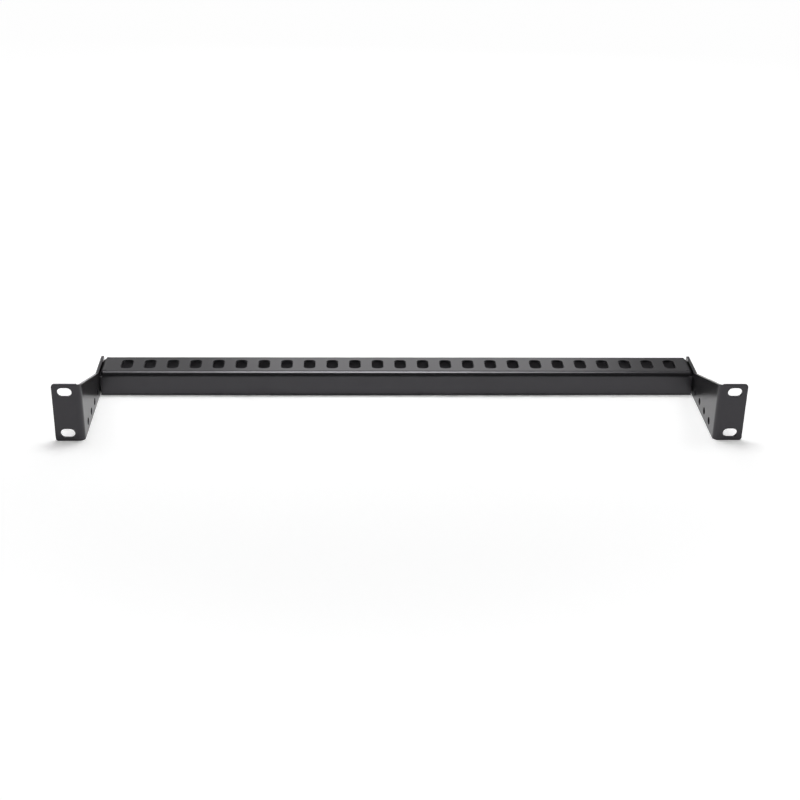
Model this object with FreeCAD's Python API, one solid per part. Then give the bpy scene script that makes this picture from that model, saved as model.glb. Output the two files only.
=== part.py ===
import FreeCAD, Part
import math
import os

# Cable lacing bar for a 19-inch rack, one unit high, in millimetres.
# X runs along the bar, Y from the rack ears back to the bar, Z up.
# The origin is the middle of the four rack slots, on the face that lies against the rails.

# Sheet steel and its folds
sheet = 2.0
bend_inside = 2.0
bend_outside = bend_inside + sheet

# Rack ears
panel_width = 482.6
panel_height = 43.7
rack_slot_span = 465.1
rack_slot_rise = 31.75
rack_slot_length = 10.0
rack_slot_width = 6.6
ear_corner_radius = 2.0

# Arms that carry the bar behind the rails
depth = 101.6
arm_span = 446.0
arm_corner_radius = 1.0
arm_kink_radius = 4.0
arm_kink_lead = 1.1
arm_slope_start = 1.0
arm_hole_diameter = 5.3
arm_hole_rise = 6.6
arm_hole_pitch = 15.4
arm_hole_count = 6

# The bar: a shallow tray folded from one sheet and open below
bar_depth = 30.0
bar_height = 18.5
tie_slot_count = 25
tie_slot_pitch = 16.95
tie_slot_shift = 1.6
tie_slot_length = 14.4
tie_slot_width = 8.4
tie_slot_corner_radius = 3.2
fold_end_gap = 2.6
web_end_gap = 0.8
relief_slit = 0.6
relief_reach = 1.0
flange_lift = 1.0
flange_corner_radius = 2.0

# Screws that pass the arms and thread into the bar's end flanges
screw_diameter = 5.0
screw_length = 6.0
head_diameter = 9.0
head_height = 1.8
recess_width = 1.2
recess_length = 4.6
recess_depth = 1.1
thread_clearance = 0.05

# Planes that several pieces share
bottom_z = -panel_height / 2
top_z = panel_height / 2
ear_front_y = -sheet
rear_y = ear_front_y + depth
arm_outer_x = arm_span / 2
arm_inner_x = arm_outer_x - sheet
bar_front_y = rear_y - bar_depth
bar_middle_y = rear_y - bar_depth / 2
bar_top_z = bottom_z + bar_height
arm_hole_z = bottom_z + arm_hole_rise
screw_places = (bar_middle_y - arm_hole_pitch / 2, bar_middle_y + arm_hole_pitch / 2)

Vector = FreeCAD.Vector
across = Vector(1, 0, 0)
back = Vector(0, 1, 0)
up = Vector(0, 0, 1)


def rounded_outline(corners):
    # Closed flat outline from (point, radius) pairs; a radius of 0 leaves that corner sharp.
    edges = []
    stretches = []
    for i, (point, radius) in enumerate(corners):
        before = (corners[i - 1][0] - point).normalize()
        after = (corners[(i + 1) % len(corners)][0] - point).normalize()
        half_angle = before.getAngle(after) / 2
        setback = radius / math.tan(half_angle)
        start = point + before * setback
        end = point + after * setback
        if radius > 0:
            inward = (before + after).normalize()
            crown = point + inward * (radius / math.sin(half_angle) - radius)
            edges.append(Part.Arc(start, crown, end).toShape())
        stretches.append((start, end))
    for i, (start, end) in enumerate(stretches):
        previous_end = stretches[i - 1][1]
        if (start - previous_end).Length > 1e-6:
            edges.append(Part.makeLine(previous_end, start))
    return Part.Wire(Part.__sortEdges__(edges))


def prism(corners, travel):
    return Part.Face(rounded_outline(corners)).extrude(travel)


def rounded_plate(centre, along, length, beside, width, radius, travel):
    # Rectangle about a centre, with its corners rounded, pushed out along travel.
    half_long = along * (length / 2)
    half_wide = beside * (width / 2)
    corners = [
        (centre - half_long - half_wide, radius),
        (centre + half_long - half_wide, radius),
        (centre + half_long + half_wide, radius),
        (centre - half_long + half_wide, radius),
    ]
    return prism(corners, travel)


def mirrored(shape):
    return shape.mirror(Vector(0, 0, 0), across)


def side_holes(diameter, places):
    # Round holes along X, all at one height, through the right arm or the bar's end flange.
    start_x = arm_inner_x - 2 * sheet
    return [
        Part.makeCylinder(diameter / 2, 4 * sheet, Vector(start_x, y, arm_hole_z), across)
        for y in places
    ]


def folded_sheet():
    # Plan of ear, fold and arm, at the full height of the panel.
    return prism(
        [
            (Vector(panel_width / 2, ear_front_y, bottom_z), 0),
            (Vector(arm_inner_x, ear_front_y, bottom_z), bend_outside),
            (Vector(arm_inner_x, rear_y, bottom_z), 0),
            (Vector(arm_outer_x, rear_y, bottom_z), 0),
            (Vector(arm_outer_x, 0, bottom_z), bend_inside),
            (Vector(panel_width / 2, 0, bottom_z), 0),
        ],
        up * panel_height,
    )


def ear_outline():
    # Front view of the ear with its rack slots; the ear's level top edge runs on into the fold.
    inner_x = arm_outer_x + arm_slope_start
    front = prism(
        [
            (Vector(inner_x, ear_front_y, bottom_z), 0),
            (Vector(panel_width / 2, ear_front_y, bottom_z), ear_corner_radius),
            (Vector(panel_width / 2, ear_front_y, top_z), ear_corner_radius),
            (Vector(inner_x, ear_front_y, top_z), 0),
        ],
        back * bend_outside,
    )
    rack_slots = [
        rounded_plate(
            Vector(rack_slot_span / 2, ear_front_y, side * rack_slot_rise / 2),
            across,
            rack_slot_length,
            up,
            rack_slot_width,
            rack_slot_width / 2,
            back * bend_outside,
        )
        for side in (-1, 1)
    ]
    return front.cut(rack_slots)


def arm_outline():
    # Side view of the arm with its row of holes; the slope starts in the fold.
    outer_x = arm_outer_x + arm_slope_start
    side_x = arm_inner_x - sheet
    side = prism(
        [
            (Vector(side_x, ear_front_y, bottom_z), 0),
            (Vector(side_x, rear_y, bottom_z), arm_corner_radius),
            (Vector(side_x, rear_y, bar_top_z), arm_corner_radius),
            (Vector(side_x, bar_front_y - arm_kink_lead, bar_top_z), arm_kink_radius),
            (Vector(side_x, ear_front_y, top_z), 0),
        ],
        across * (outer_x - side_x),
    )
    first_y = screw_places[-1] - (arm_hole_count - 1) * arm_hole_pitch
    hole_places = [first_y + i * arm_hole_pitch for i in range(arm_hole_count)]
    return side.cut(side_holes(arm_hole_diameter, hole_places))


def right_bracket():
    # Ear and arm are one folded sheet.
    return folded_sheet().common(ear_outline().fuse(arm_outline())).removeSplitter()


def channel():
    # Top plate with the front and rear webs folded down from it; its ends are cut free for the flanges.
    start = fold_end_gap - arm_inner_x
    folded = prism(
        [
            (Vector(start, bar_front_y, bottom_z), 0),
            (Vector(start, bar_front_y, bar_top_z), bend_outside),
            (Vector(start, rear_y, bar_top_z), bend_outside),
            (Vector(start, rear_y, bottom_z), 0),
            (Vector(start, rear_y - sheet, bottom_z), 0),
            (Vector(start, rear_y - sheet, bar_top_z - sheet), bend_inside),
            (Vector(start, bar_front_y + sheet, bar_top_z - sheet), bend_inside),
            (Vector(start, bar_front_y + sheet, bottom_z), 0),
        ],
        across * (-2 * start),
    )
    flat_depth = bar_depth - 2 * bend_outside
    reach = bend_outside + relief_reach
    corner = Vector(arm_inner_x - reach, bar_front_y + bend_outside, bar_top_z - 2 * sheet)
    end_cut = Part.makeBox(reach, flat_depth, 3 * sheet, corner)
    return folded.cut([end_cut, mirrored(end_cut)])


def web(near_y):
    # The flat of a web runs past the fold's ends, nearly to the arms, with square corners.
    height = bar_height - bend_outside
    return rounded_plate(
        Vector(0, near_y, bottom_z + height / 2),
        across,
        2 * (arm_inner_x - web_end_gap),
        up,
        height,
        0,
        back * sheet,
    )


def right_end_flange():
    # Between two slits the plate's end folds down against the arm, and widens below the webs' folds.
    neck_inset = bend_outside + relief_slit
    neck_y = bar_front_y + neck_inset
    neck_start_x = arm_inner_x - bend_outside - 2 * relief_reach
    tab_bottom_z = bottom_z + flange_lift
    tab_top_z = bar_top_z - neck_inset
    tab_middle_z = (tab_bottom_z + tab_top_z) / 2
    neck = prism(
        [
            (Vector(neck_start_x, neck_y, bar_top_z), 0),
            (Vector(arm_inner_x, neck_y, bar_top_z), bend_outside),
            (Vector(arm_inner_x, neck_y, tab_middle_z), 0),
            (Vector(arm_inner_x - sheet, neck_y, tab_middle_z), 0),
            (Vector(arm_inner_x - sheet, neck_y, bar_top_z - sheet), bend_inside),
            (Vector(neck_start_x, neck_y, bar_top_z - sheet), 0),
        ],
        back * (bar_depth - 2 * neck_inset),
    )
    tab = rounded_plate(
        Vector(arm_inner_x - sheet, bar_middle_y, tab_middle_z),
        back,
        bar_depth - 2 * (sheet + relief_slit),
        up,
        tab_top_z - tab_bottom_z,
        flange_corner_radius,
        across * sheet,
    )
    return neck.fuse(tab).cut(side_holes(screw_diameter, screw_places))


def lacing_bar():
    flange = right_end_flange()
    folds = [web(bar_front_y), web(rear_y - sheet), flange, mirrored(flange)]
    tray = channel().fuse(folds).removeSplitter()
    first_x = tie_slot_shift - (tie_slot_count - 1) * tie_slot_pitch / 2
    tie_slots = [
        rounded_plate(
            Vector(first_x + i * tie_slot_pitch, bar_middle_y, bar_top_z - 2 * sheet),
            back,
            tie_slot_length,
            across,
            tie_slot_width,
            tie_slot_corner_radius,
            up * (3 * sheet),
        )
        for i in range(tie_slot_count)
    ]
    return tray.cut(tie_slots)


def low_head_screw():
    # Turned about X, the head's bearing face at x = 0 and the shank running to -X.
    shank = screw_diameter / 2 - thread_clearance
    head = head_diameter / 2
    outline = rounded_outline(
        [
            (Vector(-screw_length, 0, 0), 0),
            (Vector(-screw_length, shank, 0), 0),
            (Vector(0, shank, 0), 0),
            (Vector(0, head, 0), 0),
            (Vector(head_height, head, 0), 0),
            (Vector(head_height, 0, 0), 0),
        ]
    )
    turned = Part.Face(outline).revolve(Vector(0, 0, 0), across, 360)
    floor = Vector(head_height - recess_depth, 0, 0)
    recess = [
        rounded_plate(floor, along, recess_length, beside, recess_width, 0, across * recess_depth)
        for along, beside in ((back, up), (up, back))
    ]
    return turned.cut(recess)


def screws():
    # Two in the right arm, and the same mirrored to the left arm.
    screw = low_head_screw()
    right = [screw.translated(Vector(arm_outer_x, y, arm_hole_z)) for y in screw_places]
    return Part.makeCompound(right + [mirrored(piece) for piece in right])


bracket = right_bracket()
nodes = {
    "right_bracket": bracket,
    "left_bracket": mirrored(bracket),
    "lacing_bar": lacing_bar(),
    "bar_screws": screws(),
}

os.makedirs("parts", exist_ok=True)
for name, shape in nodes.items():
    shape.exportStep(os.path.join("parts", name + ".step"))
    print(name, "solids", len(shape.Solids), "valid", shape.isValid(), "volume", round(shape.Volume, 1))
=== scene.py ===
import math

import bmesh
import bpy
from mathutils import Matrix, Vector


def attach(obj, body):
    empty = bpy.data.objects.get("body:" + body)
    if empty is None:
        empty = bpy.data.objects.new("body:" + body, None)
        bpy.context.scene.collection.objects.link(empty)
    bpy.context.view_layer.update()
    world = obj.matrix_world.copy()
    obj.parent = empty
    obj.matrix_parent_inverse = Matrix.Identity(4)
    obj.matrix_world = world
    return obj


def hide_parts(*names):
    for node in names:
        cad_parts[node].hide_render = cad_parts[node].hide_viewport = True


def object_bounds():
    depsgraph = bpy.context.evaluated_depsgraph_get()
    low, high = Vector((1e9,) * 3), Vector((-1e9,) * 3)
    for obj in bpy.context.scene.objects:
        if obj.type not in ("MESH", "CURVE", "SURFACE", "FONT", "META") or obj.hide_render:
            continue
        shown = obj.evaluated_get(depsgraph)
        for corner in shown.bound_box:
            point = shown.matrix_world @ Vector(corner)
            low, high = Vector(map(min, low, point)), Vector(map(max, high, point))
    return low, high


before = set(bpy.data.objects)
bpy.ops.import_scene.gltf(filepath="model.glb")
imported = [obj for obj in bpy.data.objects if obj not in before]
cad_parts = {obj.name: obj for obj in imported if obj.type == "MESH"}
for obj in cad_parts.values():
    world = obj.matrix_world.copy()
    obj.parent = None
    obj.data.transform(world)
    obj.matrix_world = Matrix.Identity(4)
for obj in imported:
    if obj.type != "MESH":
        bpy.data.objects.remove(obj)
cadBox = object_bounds()
print("frame loaded:", ", ".join(sorted(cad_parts)))


# small helpers for node trees

def freshTree(name):
    material = bpy.data.materials.new(name)
    material.use_nodes = True
    material.node_tree.nodes.clear()
    return material, material.node_tree


def addNode(tree, kind, mode=None, **sockets):
    node = tree.nodes.new(kind)
    if mode:
        node.operation = mode
    for name, value in sockets.items():
        node.inputs[name.replace("_", " ")].default_value = value
    return node


# black powder coat on the folded sheets

coatLook = {
    "faceColour": (0.0085, 0.0083, 0.0088, 1),
    "paleColour": (0.0115, 0.0112, 0.0120, 1),
    # paler colour of the rounded edges: a painted highlight along every edge
    "edgeHighlightColour": (0.020, 0.0195, 0.0205, 1),
    "sheen": (0.96, 0.93, 1.0, 1),
    "ior": 1.58,
    "faceRoughness": (0.276, 0.284),
    "edgeRoughness": (0.22, 0.24),
    "peelScale": 850,       # orange peel, about a millimetre from crest to crest
    "peelHeight": 0.000016,
    "grainScale": 4200,     # fine sandy grain of the cured powder
    "grainHeight": 0.00002,
    "cloudScale": 38,       # slow drift of tone over a few centimetres
    "cloudBand": (0.35, 0.70),
    "peelBand": (0.3, 0.7),     # stretch of the peel that the gloss follows
    "bumpStrength": 0.5,
}


def powderCoat(name, colourA, colourB, roughness, look):
    material, tree = freshTree(name)
    link = tree.links.new
    place = addNode(tree, "ShaderNodeTexCoord")
    cloud = addNode(tree, "ShaderNodeTexNoise", Scale=look["cloudScale"], Detail=4, Roughness=0.6)
    link(place.outputs["Object"], cloud.inputs["Vector"])
    tint = addNode(tree, "ShaderNodeValToRGB")
    for stop, position, colour in zip(tint.color_ramp.elements, look["cloudBand"], (colourA, colourB)):
        stop.position = position
        stop.color = colour
    link(cloud.outputs["Fac"], tint.inputs["Fac"])
    peel = addNode(tree, "ShaderNodeTexNoise", Scale=look["peelScale"], Detail=2, Roughness=0.45)
    link(place.outputs["Object"], peel.inputs["Vector"])
    grain = addNode(tree, "ShaderNodeTexNoise", Scale=look["grainScale"], Detail=3, Roughness=0.55)
    link(place.outputs["Object"], grain.inputs["Vector"])
    gloss = addNode(tree, "ShaderNodeMapRange", From_Min=look["peelBand"][0], From_Max=look["peelBand"][1],
                    To_Min=roughness[0], To_Max=roughness[1])
    link(peel.outputs["Fac"], gloss.inputs["Value"])
    peelBump = addNode(tree, "ShaderNodeBump", Strength=look["bumpStrength"], Distance=look["peelHeight"])
    link(peel.outputs["Fac"], peelBump.inputs["Height"])
    grainBump = addNode(tree, "ShaderNodeBump", Strength=look["bumpStrength"], Distance=look["grainHeight"])
    link(grain.outputs["Fac"], grainBump.inputs["Height"])
    link(peelBump.outputs["Normal"], grainBump.inputs["Normal"])
    coat = addNode(tree, "ShaderNodeBsdfPrincipled", IOR=look["ior"], Specular_Tint=look["sheen"])
    link(tint.outputs["Color"], coat.inputs["Base Color"])
    link(gloss.outputs["Result"], coat.inputs["Roughness"])
    link(grainBump.outputs["Normal"], coat.inputs["Normal"])
    out = addNode(tree, "ShaderNodeOutputMaterial")
    link(coat.outputs["BSDF"], out.inputs["Surface"])
    return material


faceCoat = powderCoat("powderCoatFace", coatLook["faceColour"], coatLook["paleColour"],
                      coatLook["faceRoughness"], coatLook)
# edge coat, painted paler than the faces as a highlight along the edges
edgeCoatHighlight = powderCoat("powderCoatEdgeHighlight", coatLook["paleColour"], coatLook["edgeHighlightColour"],
                      coatLook["edgeRoughness"], coatLook)
print("powder coat ready")


# the folded sheets, with the soft cut edges that the coat leaves; these rounded edges take the paler edge
# coat, a painted highlight along every edge

sheetShape = {
    "edgeRound": 0.00022,
    "edgeSteps": 2,
    "sharpFrom": math.radians(35),
    "flatWithin": 0.002,
    "mergeWithin": 1e-6,
    "faceWeight": 100,
}


def coatedSheet(nodeName, shape):
    bm = bmesh.new()
    bm.from_mesh(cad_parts[nodeName].data)
    bmesh.ops.remove_doubles(bm, verts=bm.verts, dist=shape["mergeWithin"])
    bmesh.ops.dissolve_limit(bm, angle_limit=shape["flatWithin"], verts=bm.verts, edges=bm.edges)
    mesh = bpy.data.meshes.new(nodeName + "_coat")
    bm.to_mesh(mesh)
    bm.free()
    for face in mesh.polygons:
        face.use_smooth = True
        face.material_index = 0
    mesh.materials.append(faceCoat)
    mesh.materials.append(edgeCoatHighlight)
    sheet = bpy.data.objects.new(nodeName + "_coated", mesh)
    bpy.context.scene.collection.objects.link(sheet)
    soften = sheet.modifiers.new("softEdges", "BEVEL")
    soften.width = shape["edgeRound"]
    soften.segments = shape["edgeSteps"]
    soften.limit_method = "ANGLE"
    soften.angle_limit = shape["sharpFrom"]
    soften.use_clamp_overlap = False
    # the rounded edge faces get the paler edge coat: painted highlight
    soften.material = 1
    flatten = sheet.modifiers.new("flatFaces", "WEIGHTED_NORMAL")
    flatten.mode = "FACE_AREA"
    flatten.weight = shape["faceWeight"]
    bpy.context.view_layer.update()
    finished = bpy.data.meshes.new_from_object(sheet.evaluated_get(bpy.context.evaluated_depsgraph_get()))
    low = [min(v.co[axis] for v in mesh.vertices) for axis in range(3)]
    high = [max(v.co[axis] for v in mesh.vertices) for axis in range(3)]
    for vert in finished.vertices:      # rounding never stands out past the sheet
        vert.co = [min(max(vert.co[axis], low[axis]), high[axis]) for axis in range(3)]
    sheet.modifiers.clear()
    sheet.data = finished
    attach(sheet, "root")
    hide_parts(nodeName)
    return sheet


for nodeName in ("lacing_bar", "left_bracket", "right_bracket"):
    sheet = coatedSheet(nodeName, sheetShape)
    print("coated", nodeName, len(sheet.data.polygons), "faces")


# blackened screws: low head with a cross recess, cut thread on the shank

screwLook = {
    "darkColour": (0.040, 0.040, 0.043, 1),
    "paleColour": (0.075, 0.074, 0.076, 1),
    "roughness": (0.30, 0.46),
    "ringScale": 900,       # fine rings left by turning
    "ringHeight": 0.000004,
    "ringStrength": 0.4,
    "ringWaver": 1.5,
    "stainScale": 620,      # uneven blackening
    "stainBand": (0.38, 0.72),
    "glossBand": (0.3, 0.7),
}


def blackenedSteel(look):
    material, tree = freshTree("blackenedSteel")
    link = tree.links.new
    place = addNode(tree, "ShaderNodeTexCoord")
    stain = addNode(tree, "ShaderNodeTexNoise", Scale=look["stainScale"], Detail=5, Roughness=0.6)
    link(place.outputs["Object"], stain.inputs["Vector"])
    tint = addNode(tree, "ShaderNodeValToRGB")
    colours = (look["darkColour"], look["paleColour"])
    for stop, position, colour in zip(tint.color_ramp.elements, look["stainBand"], colours):
        stop.position = position
        stop.color = colour
    link(stain.outputs["Fac"], tint.inputs["Fac"])
    gloss = addNode(tree, "ShaderNodeMapRange", From_Min=look["glossBand"][0], From_Max=look["glossBand"][1],
                    To_Min=look["roughness"][0], To_Max=look["roughness"][1])
    link(stain.outputs["Fac"], gloss.inputs["Value"])
    rings = addNode(tree, "ShaderNodeTexWave", Scale=look["ringScale"],
                    Distortion=look["ringWaver"], Detail=2)
    rings.wave_type = "RINGS"
    rings.rings_direction = "X"
    link(place.outputs["Object"], rings.inputs["Vector"])
    turned = addNode(tree, "ShaderNodeBump", Strength=look["ringStrength"], Distance=look["ringHeight"])
    link(rings.outputs["Fac"], turned.inputs["Height"])
    steel = addNode(tree, "ShaderNodeBsdfPrincipled", Metallic=1.0)
    link(tint.outputs["Color"], steel.inputs["Base Color"])
    link(gloss.outputs["Result"], steel.inputs["Roughness"])
    link(turned.outputs["Normal"], steel.inputs["Normal"])
    out = addNode(tree, "ShaderNodeOutputMaterial")
    link(steel.outputs["BSDF"], out.inputs["Surface"])
    return material


screwSteel = blackenedSteel(screwLook)

screwShape = {
    "around": 48,
    "length": 0.0060,
    "crest": 0.00245,
    "root": 0.00196,
    "pitch": 0.0008,
    "stepsPerTurn": 8,
    "flank": (0.15, 0.7),               # shares of the pitch: flat at the root, and sloped
    "neck": (0.0003, 0.0004),           # plain length under the head, and length of the run-out
    "tipBevel": 0.0001,                 # how far the tip is cut below the root
    "headRadius": 0.0045,
    "headHeight": 0.0018,
    "rimBevel": 0.00012,
    "shoulder": (0.00085, 0.0010),      # height and inset of the rounded shoulder
    "shoulderSteps": 6,
    "recessTop": (0.0023, 0.0006),      # half length and half width of the cross
    "recessFloor": (0.0014, 0.0004),
    "recessDepth": 0.0011,
    "sharpFrom": math.radians(32),
}


def threadRadius(x, angle, shape):
    phase = (x / shape["pitch"] - angle / math.tau) % 1
    flat, slope = shape["flank"]
    rise = min(max((abs(2 * phase - 1) - flat) / slope, 0), 1)
    plain, fade = shape["neck"]
    runOut = min(max((-x - plain) / fade, 0), 1)
    lead = shape["root"] - shape["tipBevel"] + (x + shape["length"])
    radius = shape["crest"] - (shape["crest"] - shape["root"]) * (1 - rise) * runOut
    return min(radius, lead)


def crossOutline(bm, x, size):
    long, wide = size
    points = []
    for turn in range(4):
        for u, v in ((long, -wide), (long, wide), (wide, wide)):
            for quarter in range(turn):
                u, v = -v, u
            points.append(bm.verts.new((x, u, v)))
    return points


def screwMesh(shape):
    bm = bmesh.new()
    count = shape["around"]
    angles = [math.tau * i / count for i in range(count)]

    def ring(x, radius):
        return [bm.verts.new((x, radius(a) * math.cos(a), radius(a) * math.sin(a))) for a in angles]

    steps = round(shape["length"] / shape["pitch"] * shape["stepsPerTurn"])
    rings = []
    for i in range(steps + 1):
        x = -shape["length"] * (1 - i / steps)
        rings.append(ring(x, lambda a: threadRadius(x, a, shape)))
    head = shape["headRadius"]
    rings.append(ring(0, lambda a: head - shape["rimBevel"]))
    rings.append(ring(shape["rimBevel"], lambda a: head))
    drop, inset = shape["shoulder"]
    for i in range(shape["shoulderSteps"] + 1):
        t = math.pi / 2 * i / shape["shoulderSteps"]
        x = shape["headHeight"] - drop * (1 - math.sin(t))
        rings.append(ring(x, lambda a: head - inset * (1 - math.cos(t))))
    bm.faces.new(rings[0])
    for low, high in zip(rings, rings[1:]):
        for i in range(count):
            bm.faces.new((low[i], low[(i + 1) % count], high[(i + 1) % count], high[i]))
    rim = rings[-1]
    mouth = crossOutline(bm, shape["headHeight"], shape["recessTop"])
    floor = crossOutline(bm, shape["headHeight"] - shape["recessDepth"], shape["recessFloor"])
    border = [bm.edges.get((rim[i - 1], rim[i])) for i in range(count)]
    border += [bm.edges.new((mouth[i - 1], mouth[i])) for i in range(len(mouth))]
    bmesh.ops.triangle_fill(bm, edges=border, use_beauty=True, normal=(1, 0, 0))
    for i in range(len(mouth)):
        bm.faces.new((mouth[i - 1], mouth[i], floor[i], floor[i - 1]))
    bm.faces.new(floor)
    bmesh.ops.recalc_face_normals(bm, faces=bm.faces)
    mesh = bpy.data.meshes.new("lowHeadScrew")
    bm.to_mesh(mesh)
    bm.free()
    for face in mesh.polygons:
        face.use_smooth = True
    mesh.set_sharp_from_angle(angle=shape["sharpFrom"])
    mesh.materials.append(screwSteel)
    return mesh


# heads on the outer faces of the arms, each recess turned its own way
armFace = 0.223
holeHeight = -0.01525
screwPlaces = {
    "bar_screw_right_front": {"side": 1, "y": 0.0769, "turn": 12},
    "bar_screw_right_rear": {"side": 1, "y": 0.0923, "turn": 57},
    "bar_screw_left_front": {"side": -1, "y": 0.0769, "turn": 33},
    "bar_screw_left_rear": {"side": -1, "y": 0.0923, "turn": 79},
}

lowHeadScrew = screwMesh(screwShape)
for name, place in screwPlaces.items():
    screw = bpy.data.objects.new(name, lowHeadScrew)
    bpy.context.scene.collection.objects.link(screw)
    seat = Matrix.Translation((place["side"] * armFace, place["y"], holeHeight))
    facing = Matrix.Rotation(0 if place["side"] > 0 else math.pi, 4, "Z")
    turn = Matrix.Rotation(math.radians(place["turn"]), 4, "X")
    screw.matrix_world = seat @ facing @ turn
    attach(screw, "root")
    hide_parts("bar_screws")
print("screws set:", len(screwPlaces), "with", len(lowHeadScrew.polygons), "faces each")


# white floor, which keeps the shadow near the object and fades to plain white further out

floorZ = cadBox[0].z
floorLook = {
    "size": 14,
    "colour": (0.88, 0.88, 0.88, 1),
    "middle": (-0.02, 0.10, 0),
    "stretch": (0.8, 1, 1),     # the pool of light is longer across than it is deep
    "nearLift": 0.04,           # added white, from the middle of the pool to beyond it
    "farLift": 0.81,
    "nearAt": 0.08,
    "farAt": 0.40,
}


def whiteFloor(look):
    bpy.ops.mesh.primitive_plane_add(size=look["size"], location=(0, 0, floorZ))
    floor = bpy.context.object
    floor.name = "floor"
    material, tree = freshTree("whiteFloor")
    link = tree.links.new
    place = addNode(tree, "ShaderNodeTexCoord")
    offset = addNode(tree, "ShaderNodeVectorMath", "SUBTRACT")
    offset.inputs[1].default_value = look["middle"]
    link(place.outputs["Object"], offset.inputs[0])
    oval = addNode(tree, "ShaderNodeVectorMath", "MULTIPLY")
    oval.inputs[1].default_value = look["stretch"]
    link(offset.outputs["Vector"], oval.inputs[0])
    away = addNode(tree, "ShaderNodeVectorMath", "LENGTH")
    link(oval.outputs["Vector"], away.inputs[0])
    lift = addNode(tree, "ShaderNodeMapRange", From_Min=look["nearAt"], From_Max=look["farAt"],
                   To_Min=look["nearLift"], To_Max=look["farLift"])
    link(away.outputs["Value"], lift.inputs["Value"])
    path = addNode(tree, "ShaderNodeLightPath")
    mirrored = addNode(tree, "ShaderNodeMath", "MAXIMUM")
    link(path.outputs["Is Glossy Ray"], mirrored.inputs[0])
    link(path.outputs["Is Transmission Ray"], mirrored.inputs[1])
    seen = addNode(tree, "ShaderNodeMath", "MAXIMUM")
    link(path.outputs["Is Camera Ray"], seen.inputs[0])
    link(mirrored.outputs["Value"], seen.inputs[1])
    strength = addNode(tree, "ShaderNodeMath", "MULTIPLY")
    link(seen.outputs["Value"], strength.inputs[0])
    link(lift.outputs["Result"], strength.inputs[1])
    glow = addNode(tree, "ShaderNodeEmission")
    link(strength.outputs["Value"], glow.inputs["Strength"])
    matt = addNode(tree, "ShaderNodeBsdfDiffuse", Color=look["colour"])
    both = addNode(tree, "ShaderNodeAddShader")
    link(matt.outputs["BSDF"], both.inputs[0])
    link(glow.outputs["Emission"], both.inputs[1])
    out = addNode(tree, "ShaderNodeOutputMaterial")
    link(both.outputs["Shader"], out.inputs["Surface"])
    floor.data.materials.append(material)


whiteFloor(floorLook)


# room: dim in front and at both sides, brighter behind and most so on the left, white to the camera

roomLook = {
    "behindLeft": 0.688,
    "behindRight": 0.376,
    "dim": 0.08,
    "leftToRight": (-0.22, 0.22),       # directions between which each change runs
    "sides": (0.32, 0.55),
    "frontToBack": (-0.35, 0.30),
}


def studioRoom(look):
    world = bpy.data.worlds.new("studioRoom")
    bpy.context.scene.world = world
    world.use_nodes = True
    tree = world.node_tree
    tree.nodes.clear()
    link = tree.links.new
    place = addNode(tree, "ShaderNodeTexCoord")
    parts = addNode(tree, "ShaderNodeSeparateXYZ")
    link(place.outputs["Generated"], parts.inputs["Vector"])
    left, right = look["leftToRight"]
    sideways = addNode(tree, "ShaderNodeMapRange", From_Min=left, From_Max=right,
                       To_Min=look["behindLeft"], To_Max=look["behindRight"])
    link(parts.outputs["X"], sideways.inputs["Value"])
    aside = addNode(tree, "ShaderNodeMath", "ABSOLUTE")
    link(parts.outputs["X"], aside.inputs[0])
    sideFrom, sideTo = look["sides"]
    middle = addNode(tree, "ShaderNodeMapRange", From_Min=sideFrom, From_Max=sideTo, To_Max=look["dim"])
    link(aside.outputs["Value"], middle.inputs["Value"])
    link(sideways.outputs["Result"], middle.inputs["To Min"])
    front, behind = look["frontToBack"]
    backwards = addNode(tree, "ShaderNodeMapRange", From_Min=front, From_Max=behind, To_Min=look["dim"])
    link(parts.outputs["Y"], backwards.inputs["Value"])
    link(middle.outputs["Result"], backwards.inputs["To Max"])
    path = addNode(tree, "ShaderNodeLightPath")
    level = addNode(tree, "ShaderNodeMath", "MAXIMUM")
    link(path.outputs["Is Camera Ray"], level.inputs[0])
    link(backwards.outputs["Result"], level.inputs[1])
    sky = addNode(tree, "ShaderNodeBackground", Color=(1, 1, 1, 1))
    link(level.outputs["Value"], sky.inputs["Strength"])
    out = addNode(tree, "ShaderNodeOutputWorld")
    link(sky.outputs["Background"], out.inputs["Surface"])


studioRoom(roomLook)


# softboxes: a wide one over the bar with a smaller one under its middle, a weak one beside each ear,
# and one low behind for the top plate

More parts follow.
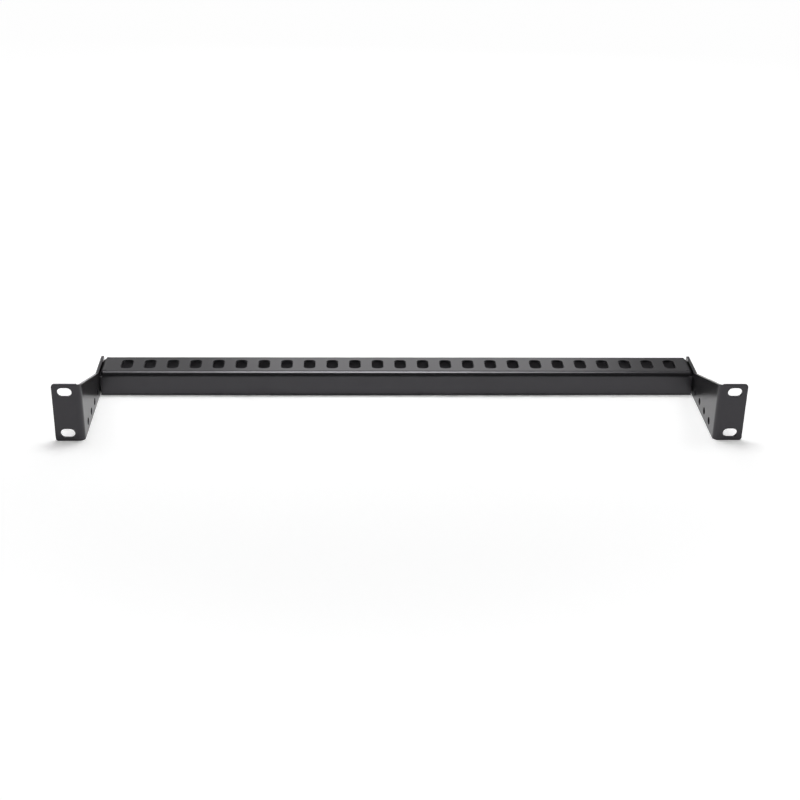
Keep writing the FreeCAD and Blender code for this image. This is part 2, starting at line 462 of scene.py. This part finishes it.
softboxLook = {
    "overhead": {"at": (-0.025, 0.165, 0.53), "aim": (-0.025, 0.120, 0), "size": (0.54, 0.20),
                 "watts": 0.46, "spread": 75},
    "overheadMiddle": {"at": (-0.02, 0.165, 0.525), "aim": (-0.02, 0.120, 0), "size": (0.26, 0.20),
                       "watts": 0.27, "spread": 75},
    "sideLeft": {"at": (-0.52, 0.14, 0.45), "aim": (-0.29, 0.0, 0), "size": (0.24, 0.24),
                 "watts": 0.07, "spread": 80},
    "sideRight": {"at": (0.52, 0.14, 0.45), "aim": (0.29, 0.0, 0), "size": (0.24, 0.24),
                  "watts": 0.10, "spread": 80},
    "behind": {"at": (0.07, 0.95, 0.42), "aim": (0.02, 0.08, 0), "size": (0.50, 0.30),
               "watts": 0.56, "spread": 180},
}


def softbox(name, look):
    data = bpy.data.lights.new(name, "AREA")
    data.shape = "RECTANGLE"
    data.size, data.size_y = look["size"]
    data.energy = look["watts"]
    data.spread = math.radians(look["spread"])
    lamp = bpy.data.objects.new(name, data)
    lamp.location = look["at"]
    lamp.rotation_euler = (Vector(look["aim"]) - Vector(look["at"])).to_track_quat("-Z", "Y").to_euler()
    lamp.visible_camera = False
    bpy.context.scene.collection.objects.link(lamp)


for name, look in softboxLook.items():
    softbox(name, look)
print("floor, room and softboxes set")


# camera at the photograph's viewpoint

cameraLook = {
    "at": (-0.041068, -0.923636, 0.474597),
    "yaw": 0.042711,
    "pitch": 0.466420,
    "roll": -0.019051,
    "lens": 66.9687,
    "sensor": 36,
    "clip": (0.01, 50),
}


def photoCamera(look):
    data = bpy.data.cameras.new("photoCamera")
    data.sensor_width = look["sensor"]
    data.sensor_fit = "HORIZONTAL"
    data.lens = look["lens"]
    data.clip_start, data.clip_end = look["clip"]
    camera = bpy.data.objects.new("photoCamera", data)
    yaw = Matrix.Rotation(-look["yaw"], 4, "Z")
    pitch = Matrix.Rotation(math.pi / 2 - look["pitch"], 4, "X")
    roll = Matrix.Rotation(-look["roll"], 4, "Z")
    camera.matrix_world = Matrix.Translation(look["at"]) @ yaw @ pitch @ roll
    bpy.context.scene.collection.objects.link(camera)
    bpy.context.scene.camera = camera


photoCamera(cameraLook)
bpy.context.scene.view_settings.view_transform = "Standard"
